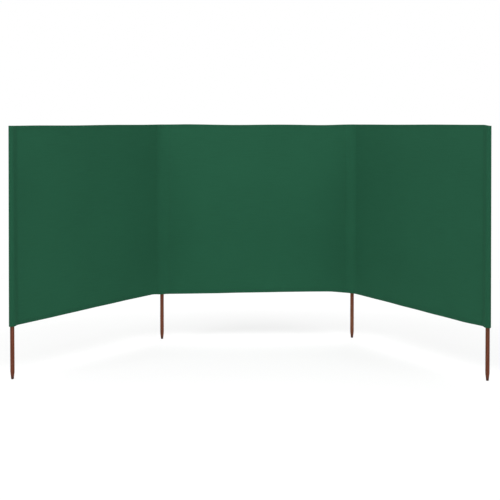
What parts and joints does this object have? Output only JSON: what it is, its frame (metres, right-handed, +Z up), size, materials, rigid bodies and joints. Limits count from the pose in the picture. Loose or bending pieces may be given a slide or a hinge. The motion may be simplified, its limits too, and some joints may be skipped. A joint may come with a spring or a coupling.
{
  "type": "beach windbreak",
  "caption": "Cloth windbreak in bays on round wooden poles, with wings that swing about the inner poles and blunt pole points that are pushed into the ground.",
  "frame": {"origin": "centre of the flat foot of the left inner pole", "axes": "+X along the middle bay to the right inner pole, +Z up the poles, -Y the sheltered side that the wings turn towards"},
  "size_m": [2.8339, 1.1995, 1.5083],
  "materials": {
    "pole_wood": "stained, matt",
    "cloth": "plain weave",
    "hem": "doubled plain weave"
  },
  "bodies": {
    "middle_bay": {"left_inner_pole": "pole_wood", "left_inner_sleeve": "cloth", "left_inner_mouth_hem": "hem", "left_inner_cap_hem": "hem", "right_inner_pole": "pole_wood", "right_inner_sleeve": "cloth", "right_inner_mouth_hem": "hem", "right_inner_cap_hem": "hem", "middle_bay_cloth": "cloth", "middle_top_hem": "hem", "middle_bottom_hem": "hem"},
    "left_wing": {"left_end_pole": "pole_wood", "left_end_sleeve": "cloth", "left_end_mouth_hem": "hem", "left_end_cap_hem": "hem", "left_bay_cloth": "cloth", "left_top_hem": "hem", "left_bottom_hem": "hem"},
    "right_wing": {"right_end_pole": "pole_wood", "right_end_sleeve": "cloth", "right_end_mouth_hem": "hem", "right_end_cap_hem": "hem", "right_bay_cloth": "cloth", "right_top_hem": "hem", "right_bottom_hem": "hem"}
  },
  "joints": [
    {"name": "left_wing_swing", "type": "hinge", "parent": "middle_bay", "child": "left_wing", "pos_m": [0, 0, 0], "axis": [0, 0, 1], "range_deg": [-170, 66]},
    {"name": "right_wing_swing", "type": "hinge", "parent": "middle_bay", "child": "right_wing", "pos_m": [1.335, 0, 0], "axis": [0, 0, -1], "range_deg": [-179, 57]}
  ]
}
